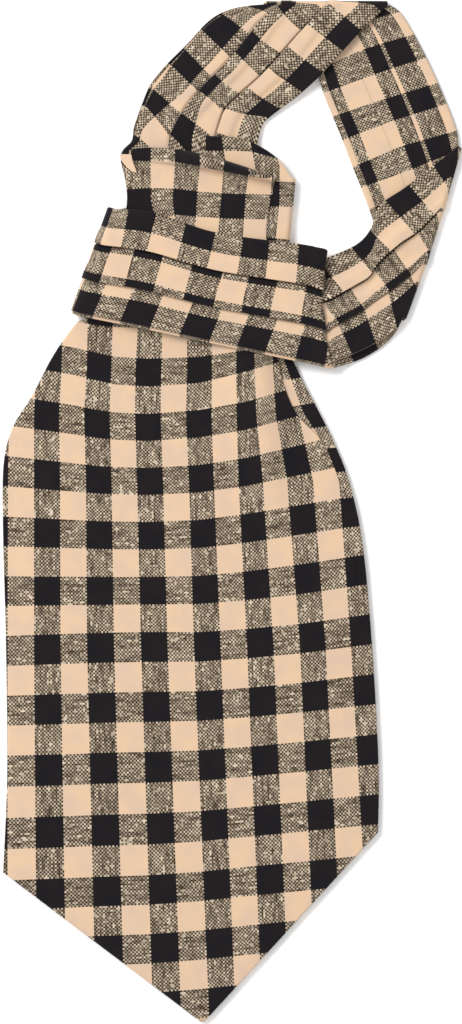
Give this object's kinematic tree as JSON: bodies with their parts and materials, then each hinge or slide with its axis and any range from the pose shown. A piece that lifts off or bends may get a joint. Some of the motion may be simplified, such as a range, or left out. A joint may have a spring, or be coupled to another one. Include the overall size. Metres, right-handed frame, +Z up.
{
  "type": "ascot tie",
  "caption": "Ascot tie in checked cotton, laid out flat and tied once, with a pleated neck band looped open above a broad pointed blade.",
  "frame": {"origin": "on the supporting surface, under the middle of the outline", "axes": "+Y from the point of the blade to the top of the neck loop, +Z up out of the surface, +X to the viewer's right"},
  "size_m": [0.1926, 0.4283, 0.0096],
  "materials": {
    "checked_cotton": "matt plain-woven cotton in an even black and cream gingham check, soft and unglazed"
  },
  "bodies": {
    "root": {"neck_band": "checked_cotton", "front_blade": "checked_cotton", "back_blade": "checked_cotton"}
  },
  "joints": []
}
